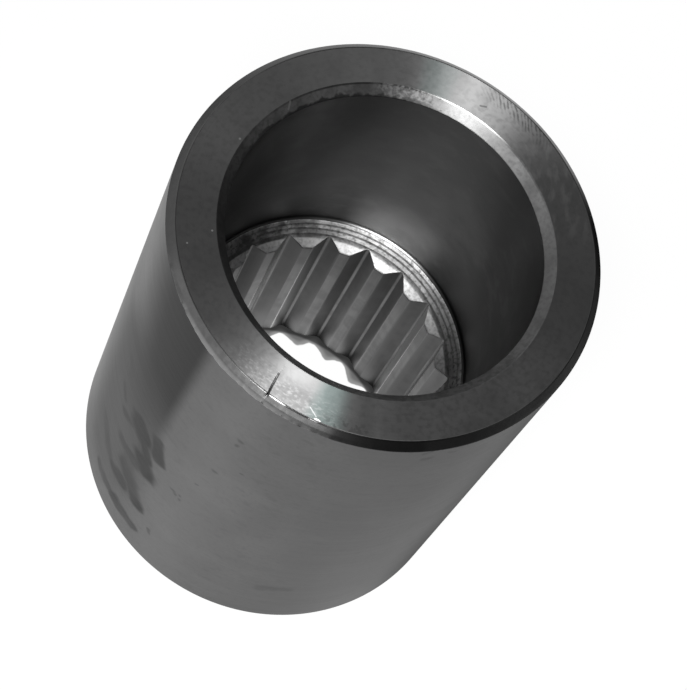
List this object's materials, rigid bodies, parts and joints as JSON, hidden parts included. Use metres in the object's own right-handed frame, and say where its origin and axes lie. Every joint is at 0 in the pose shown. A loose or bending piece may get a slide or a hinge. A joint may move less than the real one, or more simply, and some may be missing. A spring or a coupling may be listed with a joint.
{
  "type": "spline coupling",
  "caption": "Plain cylindrical steel sleeve with a counterbored mouth and an internal straight-flank spline that joins two shafts.",
  "frame": {"origin": "centre of the foot face, on the axis, where the sleeve stands", "axes": "+Z along the axis, from the foot face up to the open mouth; +X through the middle of one tooth space"},
  "size_m": [0.05, 0.05, 0.0635],
  "materials": {
    "steel": "dark turned steel, satin outside with oil smudges, finely turned face, smooth bore"
  },
  "bodies": {
    "root": {"coupling_sleeve": "steel"}
  },
  "joints": []
}
